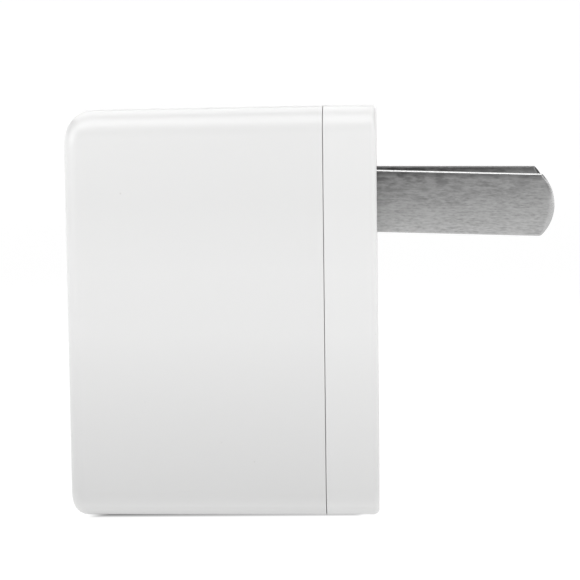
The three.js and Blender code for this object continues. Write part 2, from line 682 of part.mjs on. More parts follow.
const plug = new THREE.Group();
plug.position.set(PIVOT_X, 0, PIVOT_HEIGHT);
charger.add(plug);
addPart(plug, 'blade_rotor', rotor(), rotorPlastic);
addPart(plug, 'blade_left', blade(), bladeMetal, [0, BLADE_Y, 0]);
addPart(plug, 'blade_right', blade(), bladeMetal, [0, -BLADE_Y, 0]);

addPart(charger, 'rotor_cradle', rotorCradle(), rotorPlastic);
addPart(charger, 'cradle_screw_lower', cradleScrew(SCREW_Z[0]), steel);
addPart(charger, 'cradle_screw_upper', cradleScrew(SCREW_Z[1]), steel);
addPart(charger, 'detent_spring', detentLeaf(), steel);
addPart(charger, 'contact_left', contactLeaf(BLADE_Y), springMetal);
addPart(charger, 'contact_right', contactLeaf(-BLADE_Y), springMetal);

// Each wire's line is [x, y] at one height.
const WIRE_R = 0.45;
const WIRE_Z = PIVOT_HEIGHT - 5.75;
const LEFT_WIRE = [[5, BLADE_Y], [4.6, 6.6], [4.3, 7.8], [4.2, 9.7]];
const RIGHT_WIRE = [[5, -BLADE_Y], [4.4, -6], [3.6, -3], [2.9, 2], [2.7, 6], [2.7, 9.7]];
const levelWire = (line, steps) => wire(line.map(([x, y]) => [x, y, WIRE_Z]), WIRE_R, steps);
addPart(charger, 'wire_left', levelWire(LEFT_WIRE), wireRed);
addPart(charger, 'wire_right', levelWire(RIGHT_WIRE, LONG_WIRE_STEPS), wireBlack);

addPart(charger, 'main_board', mainBoard(), boardGreen);
addPart(charger, 'usb_board', usbBoard(), boardGreen);
addPart(charger, 'insulation_barrier', insulationBarrier(), barrierFibre);

addPart(charger, 'usb_socket_shell', socketShell(), socketMetal);
addPart(charger, 'usb_socket_insulator', socketInsulator(), socketPlastic);
USB_CONTACT_Y.forEach((y, i) => {
  addPart(charger, `usb_contact_${i + 1}`, usbContact(y), goldPlate);
});

const TRANSFORMER_AT = [-5.6, 3.3, 9];
addPart(charger, 'transformer_core_front', coreHalf(-1), ferrite, TRANSFORMER_AT);
addPart(charger, 'transformer_core_rear', coreHalf(1), ferrite, TRANSFORMER_AT);
addPart(charger, 'transformer_bobbin', bobbin(), bobbinPlastic, TRANSFORMER_AT);
addPart(charger, 'transformer_winding', winding(), windingTape, TRANSFORMER_AT);
addPart(charger, 'transformer_tape', coreTape(), windingTape, TRANSFORMER_AT);

// Capacitor sizes are radius and height. Package sizes are length, width, height and legs to a side.
const BULK_CAPACITOR = [3.25, 12];
const OUTPUT_CAPACITOR = [2.5, 11];
const RECTIFIER = [3.8, 2.9, 2.4, 2];
const CONTROLLER = [4.6, 3.6, 1.6, 4];
const OPTOCOUPLER = [5.6, 2.9, 3.2, 2];
const DIODE = [2.4, 3, 2.1, 1];

// Each component's name, shape, material and place on the board: [x, z].
const COMPONENTS = [
  ['bulk_capacitor_1', canCapacitor(...BULK_CAPACITOR), capacitorSleeve, [-9.6, 33.7]],
  ['bulk_capacitor_2', canCapacitor(...BULK_CAPACITOR), capacitorSleeve, [-2.6, 33.7]],
  ['output_capacitor_1', canCapacitor(...OUTPUT_CAPACITOR), capacitorGreen, [3.9, 12.6]],
  ['output_capacitor_2', canCapacitor(...OUTPUT_CAPACITOR), capacitorGreen, [3.9, 6.4]],
  ['input_choke', drumChoke(), copper, [-0.6, 27.6]],
  ['fuse_resistor', standingResistor(), resistorCoat, [4, 29.3]],
  ['bridge_rectifier', chipPackage(...RECTIFIER), chipPlastic, [-11.1, 27.5]],
  ['controller_chip', chipPackage(...CONTROLLER), chipPlastic, [-6.2, 27.6]],
  ['optocoupler', chipPackage(...OPTOCOUPLER), chipPlastic, [3.15, 34.2]],
  ['y_capacitor', discCapacitor(), discCeramic, [3.9, 20.4]],
];
COMPONENTS.forEach(([name, shape, material, [x, z]]) => addOnBoard(name, shape, material, x, z));

const DIODE_AT = [0.9, 4, USB_BOARD_TOP + STAND_OFF];
const diode = addPart(charger, 'output_diode', chipPackage(...DIODE), chipPlastic, DIODE_AT);
diode.rotation.set(QUARTER, QUARTER, 0);

export default charger;
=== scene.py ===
"""The looks of a USB wall charger with a folding plug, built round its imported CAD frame.

Metres, +Z up. +X points into the wall, along the open blades, and the camera looks along +Y.
The two housing halves, the rotor, the blades and the USB socket are detailed pieces that replace
their CAD nodes. Every other node keeps its CAD shape and gets rounded edges and a material.
"""
import json
import math

import bpy
from mathutils import Matrix, Vector


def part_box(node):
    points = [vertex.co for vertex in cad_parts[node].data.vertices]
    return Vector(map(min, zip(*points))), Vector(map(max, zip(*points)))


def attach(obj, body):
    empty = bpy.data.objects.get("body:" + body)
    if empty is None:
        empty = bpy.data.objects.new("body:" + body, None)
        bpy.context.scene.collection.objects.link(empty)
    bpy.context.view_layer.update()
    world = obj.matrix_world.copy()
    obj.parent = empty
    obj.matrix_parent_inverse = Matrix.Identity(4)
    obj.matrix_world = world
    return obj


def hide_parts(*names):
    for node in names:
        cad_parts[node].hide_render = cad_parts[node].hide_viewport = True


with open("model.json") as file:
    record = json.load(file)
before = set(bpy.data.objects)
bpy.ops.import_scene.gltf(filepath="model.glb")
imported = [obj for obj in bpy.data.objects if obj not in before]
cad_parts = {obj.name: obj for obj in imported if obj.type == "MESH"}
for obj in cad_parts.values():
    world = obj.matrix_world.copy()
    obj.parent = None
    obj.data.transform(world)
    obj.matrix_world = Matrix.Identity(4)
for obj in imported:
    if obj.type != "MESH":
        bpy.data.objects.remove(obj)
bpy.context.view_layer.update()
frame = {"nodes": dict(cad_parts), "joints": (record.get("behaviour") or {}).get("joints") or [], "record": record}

# ---------------------------------------------------------------- sizes

MM = 0.001

SHELL_LOW, SHELL_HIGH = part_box("front_shell")
COVER_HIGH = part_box("rear_cover")[1]
BLADE_LOW, BLADE_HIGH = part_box("blade_right")
SOCKET_LOW, SOCKET_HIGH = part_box("usb_socket_shell")
INSULATOR_LOW, INSULATOR_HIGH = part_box("usb_socket_insulator")
PIVOT = Vector(frame["joints"][0]["pos_m"])

FRONT_X = SHELL_LOW.x
SEAM_X = SHELL_HIGH.x
REAR_X = COVER_HIGH.x
HALF_WIDTH = COVER_HIGH.y
HEIGHT = COVER_HIGH.z
SEAM_GAP = 0.055 * MM
WALL = 1.8 * MM
LIP_OFFSET = 1.0 * MM  # from the outside of the housing to the lip inside the seam
LIP_LENGTH = 1.5 * MM
LIP_GAP = 0.1 * MM  # between the lip and the recess in the shell that takes it

LONG_EDGE_R = 2.9 * MM
FRONT_EDGE_R = 1.6 * MM
FRONT_TOP_R = 2.8 * MM
REAR_EDGE_R = 0.6 * MM
SEAM_EDGE_R = 0.07 * MM
EDGE_ZONE = 1 * MM  # beside the seam, where a ring keeps the edge's shading off the long sides
DRAFT_SIDE = 0.15 * MM  # how much smaller the shell is at its front end
DRAFT_TOP = 0.2 * MM
DRAFT_FOOT = 0.18 * MM
FRONT_LEAN = 0.2 * MM  # how far the front face leans back at its foot

BLADE_WIDTH = BLADE_HIGH.z - BLADE_LOW.z
BLADE_THICKNESS = BLADE_HIGH.y - BLADE_LOW.y
BLADE_Y = -(BLADE_LOW.y + BLADE_HIGH.y) / 2  # from the middle plane to the middle of a blade
BLADE_SWING = BLADE_HIGH.x - PIVOT.x  # from the pivot to a blade's tip
BLADE_DROOP = {"blade_right": math.radians(1.95), "blade_left": math.radians(0.62)}
TIP_R = 4.4 * MM
TIP_CORNER_R = 0.45 * MM  # the lower corner; the upper one is sharp

ARC_STEPS = 12
CUT_PAST = 1 * MM  # how far a cutting tool reaches past what it cuts


# ---------------------------------------------------------------- mesh tools

def new_object(name, points, faces):
    """A mesh object from points and faces, whose corners run anticlockwise seen from outside."""
    mesh = bpy.data.meshes.new(name)
    mesh.from_pydata([tuple(p) for p in points], [], faces)
    mesh.validate()
    mesh.update()
    made = bpy.data.objects.new(name, mesh)
    bpy.context.scene.collection.objects.link(made)
    return made


def loft(name, rings, closed=False):
    """A solid through rings of equal length. closed joins the last ring to the first."""
    count = len(rings[0])
    faces = []
    for k in range(len(rings) if closed else len(rings) - 1):
        start, following = k * count, ((k + 1) % len(rings)) * count
        for i in range(count):
            j = (i + 1) % count
            faces.append((start + i, start + j, following + j, following + i))
    if not closed:
        faces.append(tuple(reversed(range(count))))
        faces.append(tuple(range((len(rings) - 1) * count, len(rings) * count)))
    return new_object(name, [p for ring in rings for p in ring], faces)


def combine(target, tool, operation):
    """Joins tool to target, or cuts it away from target, and deletes tool."""
    modifier = target.modifiers.new("combine", "BOOLEAN")
    modifier.operation = operation
    modifier.solver = "MANIFOLD"
    modifier.object = tool
    graph = bpy.context.evaluated_depsgraph_get()
    mesh = bpy.data.meshes.new_from_object(target.evaluated_get(graph))
    target.modifiers.clear()
    old = target.data
    target.data = mesh
    mesh.name = target.name
    bpy.data.meshes.remove(old)
    bpy.data.objects.remove(tool)
    return target


def join(target, *tools):
    """Adds each tool to target."""
    for tool in tools:
        combine(target, tool, "UNION")
    return target


def cut(target, *tools):
    """Takes each tool away from target."""
    for tool in tools:
        combine(target, tool, "DIFFERENCE")
    return target


def arc(count, start=0.0, end=math.pi / 2):
    """count + 1 angles from start to end."""
    return [start + (end - start) * i / count for i in range(count + 1)]


def rounded_rectangle(half, low, high, radius, steps=ARC_STEPS, middle=0.0):
    """Points (y, z) round a rectangle with round corners, from its lower right corner."""
    centres = [
        (middle + half - radius, low + radius),
        (middle + half - radius, high - radius),
        (middle - half + radius, high - radius),
        (middle - half + radius, low + radius),
    ]
    points = []
    for corner, (y, z) in enumerate(centres):
        for angle in arc(steps, (corner - 1) * math.pi / 2, corner * math.pi / 2):
            points.append((y + radius * math.cos(angle), z + radius * math.sin(angle)))
    return points


def along_x(outline, x):
    """The points (y, z) of an outline as points at x."""
    return [(x, y, z) for y, z in outline]


def middle_and_half(span):
    """The middle of a span and half its length."""
    return (span[0] + span[1]) / 2, (span[1] - span[0]) / 2


def end_rings(section, start, end, radius):
    """Rings from start to end whose two ends are rounded. section(place, inset) gives a ring."""
    fallen = [(radius * (1 - math.cos(a)), radius * (1 - math.sin(a))) for a in arc(4)]
    rings = [section(start + depth, inset) for depth, inset in fallen]
    return rings + [section(end - depth, inset) for depth, inset in reversed(fallen)]


def block(name, x_span, y_span, z_span):
    """A plain box, for cutting and joining."""
    (y0, y1), (z0, z1) = y_span, z_span
    corners = [(y0, z0), (y1, z0), (y1, z1), (y0, z1)]
    return loft(name, [along_x(corners, x) for x in x_span])


def rounded_bar(name, x_span, y_span, z_span, side_r, end_r, steps=5):
    """A bar along X with round long edges and round ends."""
    middle, half = middle_and_half(y_span)

    def section(x, inset):
        radius = max(side_r - inset, 0.02 * MM)
        return along_x(rounded_rectangle(
            half - inset, z_span[0] + inset, z_span[1] - inset, radius, steps, middle), x)

    return loft(name, end_rings(section, *x_span, end_r))


def rod_y(name, radius, y_span, centre, steps=40):
    """A cylinder along Y, for cutting and joining."""
    angles = [2 * math.pi * i / steps for i in range(steps)]
    rings = [[(centre.x + radius * math.cos(a), y, centre.z + radius * math.sin(a)) for a in angles]
             for y in reversed(y_span)]
    return loft(name, rings)


def smooth(made, angle=35.0):
    """Shades smooth, with creases kept where faces meet at more than angle degrees."""
    mesh = made.data
    mesh.shade_smooth()
    mesh.set_sharp_from_angle(angle=math.radians(angle))
    weighted = made.modifiers.new("flat faces stay flat", "WEIGHTED_NORMAL")
    weighted.keep_sharp = True
    weighted.weight = 100
    return made


# ---------------------------------------------------------------- housing

def draft_share(x):
    """0 at the seam and behind it, 1 at the front face."""
    return max(0.0, (SEAM_X - x) / (SEAM_X - FRONT_X))


def housing_ring(x, inset, top_inset=None):
    """The housing's section at x, drawn inwards by inset, or at its top by top_inset."""
    share = draft_share(x)
    outline = rounded_rectangle(
        HALF_WIDTH - DRAFT_SIDE * share - inset,
        DRAFT_FOOT * share + inset,
        HEIGHT - DRAFT_TOP * share - (inset if top_inset is None else top_inset),
        max(LONG_EDGE_R - inset, 0.3 * MM),
    )
    return [(x + FRONT_LEAN * share * (1 - z / HEIGHT), y, z) for y, z in outline]


def edge_inset(depth, radius):
    """How far a round edge has fallen in, at a depth behind the face that it leads to."""
    return radius - math.sqrt(radius ** 2 - max(radius - depth, 0.0) ** 2)


APERTURE_R = 1.0 * MM
APERTURE_GAP = 0.25 * MM  # round the socket
APERTURE_EDGE_R = 0.3 * MM


def aperture_ring(x, grow=0.0):
    """The socket's opening in the front face, in step with the housing's rings."""
    gap = APERTURE_GAP + grow
    outline = rounded_rectangle(
        SOCKET_HIGH.y + gap, SOCKET_LOW.z - gap, SOCKET_HIGH.z + gap, APERTURE_R + grow)
    return along_x(outline, x)


def make_front_shell():
    """One closed skin: rim, sides, front face, socket opening, cavity and the recess for the lip."""
    seam = [housing_ring(SEAM_X - SEAM_EDGE_R * math.cos(a), SEAM_EDGE_R * (1 - math.sin(a)))
            for a in (math.pi / 2 - b for b in reversed(arc(3)))]
    depths = {radius * (1 - math.sin(a)) for radius in (FRONT_EDGE_R, FRONT_TOP_R)
              for a in arc(ARC_STEPS)[:-1]} | {0.0}
    front = [housing_ring(FRONT_X + depth, edge_inset(depth, FRONT_EDGE_R), edge_inset(depth, FRONT_TOP_R))
             for depth in sorted(depths, reverse=True)]
    face_x = FRONT_X + FRONT_LEAN * (1 - (SOCKET_LOW.z + SOCKET_HIGH.z) / 2 / HEIGHT)
    mouth = [aperture_ring(face_x + APERTURE_EDGE_R * (1 - math.cos(a)), APERTURE_EDGE_R * (1 - math.sin(a)))
             for a in arc(5)]
    cavity_x = FRONT_X + WALL
    recess_x = SEAM_X - LIP_LENGTH - 2 * LIP_GAP
    recess = LIP_OFFSET - LIP_GAP
    rings = [
        *seam,
        housing_ring(SEAM_X - EDGE_ZONE, 0),
        *front,
        *mouth,
        aperture_ring(cavity_x),
        housing_ring(cavity_x, WALL),
        housing_ring(recess_x, WALL),
        housing_ring(recess_x, recess),
        housing_ring(SEAM_X, recess),
    ]
    return smooth(loft("front_shell_skin", rings, closed=True))


MOUTH_R = 0.28 * MM  # the round edge of each recess in the wall face
MOUTH_TURN = math.radians(75)  # how far that edge turns before it meets the face


def recess_tool(name, y_span, z_span, floor_x, corner_r):
    """Cuts a straight-sided recess with a round edge at the wall face."""
    middle, half = middle_and_half(y_span)

    def section(x, grow):
        return along_x(rounded_rectangle(
            half + grow, z_span[0] - grow, z_span[1] + grow, corner_r + grow, 6, middle), x)

    rings = [section(floor_x, 0.0)]
    for a in arc(5, 0.0, MOUTH_TURN):
        depth = MOUTH_R * (math.sin(MOUTH_TURN) - math.sin(a))
        rings.append(section(REAR_X - depth, MOUTH_R * (1 - math.cos(a))))
    past = 0.1 * MM
    reach = MOUTH_R * (1 - math.cos(MOUTH_TURN)) + past * math.tan(MOUTH_TURN)
    rings.append(section(REAR_X + past, reach))
    rings.append(section(REAR_X + CUT_PAST, reach))
    return loft(name, rings)


SCOOP_HALF_Y = 10 * MM
SCOOP_HALF_Z = 4.6 * MM
SCOOP_DEPTH = 3.0 * MM
SCOOP_RIM = 0.12 * MM  # how far past the wall face its widest ring lies
SCOOP_FULLNESS = 1.25  # 0.5 is half an ellipsoid, and more makes its rim shallower
SCOOP_LEVELS = 24


def scoop_tool(centre_z):
    """Cuts the bowl that lets a finger reach the folded blades' tips."""
    steps = 96
    angles = [2 * math.pi * i / steps for i in range(steps)]

    def section(share, x):
        return [(x, SCOOP_HALF_Y * share * math.cos(a), centre_z + SCOOP_HALF_Z * share * math.sin(a))
                for a in angles]

    rings = []
    for a in arc(SCOOP_LEVELS)[1:]:
        depth = (SCOOP_DEPTH + SCOOP_RIM) * (1 - math.sin(a) ** 2) ** SCOOP_FULLNESS
        rings.append(section(math.sin(a), REAR_X + SCOOP_RIM - depth))
    rings.append(section(1.0, REAR_X + CUT_PAST))
    return loft("scoop", rings)


BLOCK_BACK_X = PIVOT.x - 4.8 * MM  # the solid block inside the cover that holds the recesses
BLOCK_HALF_Y = 9.9 * MM
BLOCK_BELOW = 27.7 * MM  # from the pivot
BLOCK_ABOVE = 7.3 * MM
OVERLAP = 0.4 * MM  # between two solids that are joined
BAY_HALF_Z = 3.85 * MM
BAY_HALF_Y = 8.7 * MM
BAY_CORNER_R = 0.4 * MM
SLOT_HALF_WIDTH = 1.15 * MM
SLOT_CORNER_R = 0.3 * MM
SLOT_END_Z = PIVOT.z - BLADE_SWING - 0.55 * MM
SLOT_IN_BAY = 0.6 * MM  # how far each slot reaches into the bay
SLOT_FLOOR_X = PIVOT.x - BLADE_WIDTH / 2 - 0.9 * MM
BEARING_R = 1.38 * MM  # of the holes that the rotor's stub axles turn in
BEARING_HALF_Y = 11 * MM
SCOOP_ABOVE_END = 0.6 * MM  # from the slots' lower end to the scoop's middle


def cover_solid():
    """The cover before its recesses: cap, lip, hollow and the solid block behind the wall face."""
    front_x = SEAM_X + SEAM_GAP
    cap = [housing_ring(front_x + SEAM_EDGE_R * (1 - math.cos(a)), SEAM_EDGE_R * (1 - math.sin(a)))
           for a in arc(3)]
    cap.append(housing_ring(front_x + EDGE_ZONE, 0))
    cap += [housing_ring(REAR_X - REAR_EDGE_R * (1 - math.sin(a)), REAR_EDGE_R * (1 - math.cos(a)))
            for a in arc(8)]
    cover = loft("rear_cover_skin", cap)
    lip_x = SEAM_X - LIP_LENGTH
    lip = loft("lip", [housing_ring(x, LIP_OFFSET) for x in (lip_x, front_x + EDGE_ZONE)])
    hollow = loft("hollow", [housing_ring(x, WALL) for x in (lip_x - CUT_PAST, REAR_X - WALL)])
    core = block("core", (BLOCK_BACK_X, REAR_X - WALL + OVERLAP), (-BLOCK_HALF_Y, BLOCK_HALF_Y),
                 (PIVOT.z - BLOCK_BELOW, PIVOT.z + BLOCK_ABOVE))
    join(cover, lip)
    cut(cover, hollow)
    return join(cover, core)


def make_rear_cover():
    """The cover, with its recesses for the rotor, the blades and a finger."""
    bay = recess_tool("bay", (-BAY_HALF_Y, BAY_HALF_Y), (PIVOT.z - BAY_HALF_Z, PIVOT.z + BAY_HALF_Z),
                      BLOCK_BACK_X - CUT_PAST, BAY_CORNER_R)
    slots = [recess_tool("slot", (y - SLOT_HALF_WIDTH, y + SLOT_HALF_WIDTH),
                         (SLOT_END_Z, PIVOT.z - BAY_HALF_Z + SLOT_IN_BAY), SLOT_FLOOR_X, SLOT_CORNER_R)
             for y in (-BLADE_Y, BLADE_Y)]
    bearing_y = (-BEARING_HALF_Y, BEARING_HALF_Y)
    bearing = rod_y("bearing", BEARING_R, bearing_y, PIVOT)
    bearing_way = block("bearing_way", (BLOCK_BACK_X - CUT_PAST, PIVOT.x), bearing_y,
                        (PIVOT.z - BEARING_R, PIVOT.z + BEARING_R))
    cover = cover_solid()
    cut(cover, bay, *slots, bearing, bearing_way, scoop_tool(SLOT_END_Z + SCOOP_ABOVE_END))
    return smooth(cover)


# ---------------------------------------------------------------- folding plug

ROTOR_R = 3.65 * MM
ROTOR_FLAT = 3.4 * MM
ROTOR_EDGE = 0.25 * MM
ROTOR_GAP = 0.15 * MM  # on each side of a blade
COLLAR_Y = 8.45 * MM  # the outer end of the collar beyond each blade
NECK = 1.1 * MM  # half the side of the square neck through each blade
NECK_Y = 8 * MM
STUB_R = 1.3 * MM
STUB_Y = 9.6 * MM


def rotor_outline(inset):
    """The rotor's section round the pivot: a circle with four flats."""
    radius, flat = ROTOR_R - inset, ROTOR_FLAT - inset
    edge = math.acos(flat / radius)
    points = []
    for quarter in range(4):
        start = quarter * math.pi / 2
        for a in arc(14, start + edge, start + math.pi / 2 - edge):
            points.append((PIVOT.x + radius * math.cos(a), PIVOT.z + radius * math.sin(a)))
    return points


def rotor_barrel(y_span):
    """One stretch of the rotor, with softened ends."""
    def section(y, inset):
        return [(x, y, z) for x, z in reversed(rotor_outline(inset))]

    return loft("barrel", end_rings(section, *y_span, ROTOR_EDGE))


def make_rotor():
    """The moulded axle: a middle bar, two collars, the square neck and two stub axles."""
    inner = BLADE_Y - BLADE_THICKNESS / 2 - ROTOR_GAP
    outer = BLADE_Y + BLADE_THICKNESS / 2 + ROTOR_GAP
    rotor = rotor_barrel((-inner, inner))
    rotor.name = "rotor_body"
    neck = block("neck", (PIVOT.x - NECK, PIVOT.x + NECK), (-NECK_Y, NECK_Y),
                 (PIVOT.z - NECK, PIVOT.z + NECK))
    stubs = [rod_y("stub", STUB_R, span, PIVOT) for span in ((NECK_Y, STUB_Y), (-STUB_Y, -NECK_Y))]
    join(rotor, rotor_barrel((outer, COLLAR_Y)), rotor_barrel((-COLLAR_Y, -outer)), neck, *stubs)
    return smooth(rotor, 30)


SIDE_BEVEL = (0.2 * MM, 0.13 * MM)  # how wide and how deep
TIP_BEVEL = (0.85 * MM, 0.15 * MM)
TIP_BLEND = 0.45  # radians of the tip's arc over which one bevel becomes the other
EDGE_STEPS = 24  # along each long edge of a blade
KEYWAY_PLAY = 0.1 * MM


def blade_outline():
    """Points along a blade's edge from the pivot: (along, up, outward normal, how much it is tip)."""
    half = BLADE_WIDTH / 2
    centre = BLADE_SWING - TIP_R
    corner_r = TIP_CORNER_R
    corner_x = centre + math.sqrt((TIP_R - corner_r) ** 2 - (half - corner_r) ** 2)
    corner_turn = -math.asin((half - corner_r) / (TIP_R - corner_r))
    upper_turn = math.asin(half / TIP_R)
    upper_x = centre + TIP_R * math.cos(upper_turn)
    rows = []
    for a in arc(28, math.pi / 2, 3 * math.pi / 2):
        rows.append((half * math.cos(a), half * math.sin(a), a, 0.0))
    for k in range(1, EDGE_STEPS):
        rows.append((corner_x * k / EDGE_STEPS, -half, -math.pi / 2, 0.0))
    for a in arc(6, -math.pi / 2, corner_turn):
        rows.append((corner_x + corner_r * math.cos(a), corner_r - half + corner_r * math.sin(a), a, 0.0))
    for a in arc(48, corner_turn, upper_turn)[1:]:
        share = min(1.0, (a - corner_turn) / TIP_BLEND, (upper_turn - a) / TIP_BLEND)
        rows.append((centre + TIP_R * math.cos(a), TIP_R * math.sin(a), a, share))
    for k in range(EDGE_STEPS - 1, 0, -1):
        rows.append((upper_x * k / EDGE_STEPS, half, math.pi / 2, 0.0))
    return rows


def blade_edge(tip, angle):
    """How far a blade's edge is drawn in, and how far its face has fallen, at an angle on the bevel."""
    width, depth = (side + (end - side) * tip for side, end in zip(SIDE_BEVEL, TIP_BEVEL))
    flat = min(1.0, 8 * tip)  # the sides' bevel is round, and the tip's is nearly flat
    fall = (1 - flat) * (1 - math.cos(angle)) + flat * math.sin(angle) ** 2
    return width * (1 - math.sin(angle)), depth * fall


def make_blade(node):
    """A stamped blade with coined edges, a broad chamfer at its tip, and the square hole for the rotor."""
    side = 1 if node == "blade_left" else -1
    droop = Matrix.Rotation(BLADE_DROOP[node], 4, "Y")
    outline = blade_outline()

    def ring(angle, face):
        points = []
        for along, up, normal, tip in outline:
            inset, fall = blade_edge(tip, angle)
            across = face * (BLADE_THICKNESS / 2 - fall)
            place = Vector((along - inset * math.cos(normal), across, up - inset * math.sin(normal)))
            points.append(PIVOT + Vector((0, side * BLADE_Y, 0)) + droop @ place)
        return points

    rings = [ring(a, -1) for a in arc(6)] + [ring(a, 1) for a in reversed(arc(6))]
    blade = loft(node + "_metal", rings)
    hole = NECK + KEYWAY_PLAY
    corners = [(-hole, -hole), (hole, -hole), (hole, hole), (-hole, hole)]
    turned = [PIVOT + droop @ Vector((x, 0, z)) for x, z in corners]
    ends = (side * BLADE_Y + 2 * MM, side * BLADE_Y - 2 * MM)
    cut(blade, loft("keyway", [[point + Vector((0, y, 0)) for point in turned] for y in ends]))
    return smooth(blade, 50)


# ---------------------------------------------------------------- USB socket

SHEET = 0.3 * MM
SOCKET_CORNER_R = 0.75 * MM
TAB_Y = 3.1 * MM
TAB_SPAN = (2.2 * MM, 6.4 * MM)  # behind the socket's mouth
TAB_HALF_WIDTH = 0.95 * MM
SLIT = 0.22 * MM
SLIT_HALF_DEPTH = 0.6 * MM


def make_socket_shell():
    """The folded metal tube, with rounded corners and a pair of spring tabs in its floor and its roof."""
    def section(x, inset):
        return along_x(rounded_rectangle(
            SOCKET_HIGH.y - inset, SOCKET_LOW.z + inset, SOCKET_HIGH.z - inset,
            SOCKET_CORNER_R - inset, 6), x)

    lip = 0.08 * MM
    front, back = SOCKET_LOW.x, SOCKET_HIGH.x
    rings = [
        section(back, 0.0), section(front + lip, 0.0), section(front, lip),
        section(front, SHEET - lip), section(front + lip, SHEET), section(back, SHEET),
    ]
    shell = loft("socket_tube", rings, closed=True)
    near, far = (front + depth for depth in TAB_SPAN)
    for y, z in [(y, z) for y in (-TAB_Y, TAB_Y) for z in (SOCKET_LOW.z, SOCKET_HIGH.z)]:
        low, high = y - TAB_HALF_WIDTH, y + TAB_HALF_WIDTH
        height = (z - SLIT_HALF_DEPTH, z + SLIT_HALF_DEPTH)
        cut(shell,
            block("slit", (near, far), (low - SLIT, low), height),
            block("slit", (near, far), (high, high + SLIT), height),
            block("slit", (near - SLIT, near), (low - SLIT, high + SLIT), height))
    return smooth(shell)


CONTACTS = (1, 2, 3, 4)
TONGUE_HALF_Y = 5.5 * MM
TONGUE_THICKNESS = 1.84 * MM
TONGUE_DROP = 0.64 * MM  # from the inside of the socket's roof
INSULATOR_HALF_Y = 6.1 * MM
INSULATOR_DEPTH = 8.9 * MM  # from the socket's mouth to the block behind the tongue
CHANNEL_HALF_Y = 0.65 * MM  # of the way for each contact through the block behind the tongue
CHANNEL_DEPTH = 0.5 * MM


def make_insulator():
    """The white block and its tongue, with a channel for each contact just below the tongue."""
    top = SOCKET_HIGH.z - SHEET - TONGUE_DROP
    bottom = top - TONGUE_THICKNESS
    block_x = SOCKET_LOW.x + INSULATOR_DEPTH
    body = rounded_bar("insulator_body", (block_x, INSULATOR_HIGH.x), (-INSULATOR_HALF_Y, INSULATOR_HALF_Y),
                       (INSULATOR_LOW.z, INSULATOR_HIGH.z), 0.4 * MM, 0.12 * MM)
    tongue = rounded_bar("tongue", (INSULATOR_LOW.x, block_x + CUT_PAST), (-TONGUE_HALF_Y, TONGUE_HALF_Y),
                         (bottom, top), 0.25 * MM, 0.3 * MM)
    join(body, tongue)
    for index in CONTACTS:
        low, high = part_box(f"usb_contact_{index}")
        middle = (low.y + high.y) / 2
        cut(body, block("channel", (block_x - CUT_PAST, INSULATOR_HIGH.x + CUT_PAST),
                        (middle - CHANNEL_HALF_Y, middle + CHANNEL_HALF_Y), (bottom - CHANNEL_DEPTH, bottom)))
    return smooth(body)


STRIP_THICKNESS = 0.2 * MM
STRIP_HALF_WIDTH = 0.45 * MM
STRIP_EDGE_R = 0.06 * MM
STRIP_TURN_R = 0.35 * MM
BOW_DEPTH = 0.45 * MM
BOW_HALF_LENGTH = 1.6 * MM
BOW_FROM_END = 2.2 * MM


def contact_line(low, high):
    """A contact's middle line (x, z): a strip that bows down near the mouth, then a tail going down."""
    rest_z = high.z - STRIP_THICKNESS / 2
    bow_x = low.x + BOW_FROM_END
    corner_x, corner_z = high.x - STRIP_THICKNESS / 2 - STRIP_TURN_R, rest_z - STRIP_TURN_R
    steps = 40
    line = []
    for k in range(steps + 1):
        x = low.x + (high.x - STRIP_TURN_R - low.x) * k / steps
        share = max(0.0, 1 - ((x - bow_x) / BOW_HALF_LENGTH) ** 2)
        if x < corner_x:
            line.append((x, rest_z - BOW_DEPTH * share * share))
    line += [(corner_x + STRIP_TURN_R * math.sin(a), corner_z + STRIP_TURN_R * math.cos(a)) for a in arc(6)]
    line.append((corner_x + STRIP_TURN_R, low.z))
    return line


def make_contact(index):
    """A spring contact of flat strip, from the tongue to the small board."""
    low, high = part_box(f"usb_contact_{index}")
    middle = (low.y + high.y) / 2
    half = STRIP_THICKNESS / 2
    outline = rounded_rectangle(STRIP_HALF_WIDTH, -half, half, STRIP_EDGE_R, 2)
    line = contact_line(low, high)
    rings = []
    for k, (x, z) in enumerate(line):
        before, after = line[max(k - 1, 0)], line[min(k + 1, len(line) - 1)]
        along = Vector((after[0] - before[0], after[1] - before[1])).normalized()
        rings.append([(x - along.y * v, middle + u, z + along.x * v) for u, v in outline])
    return smooth(loft(f"contact_{index}_strip", rings), 50)


# ---------------------------------------------------------------- materials

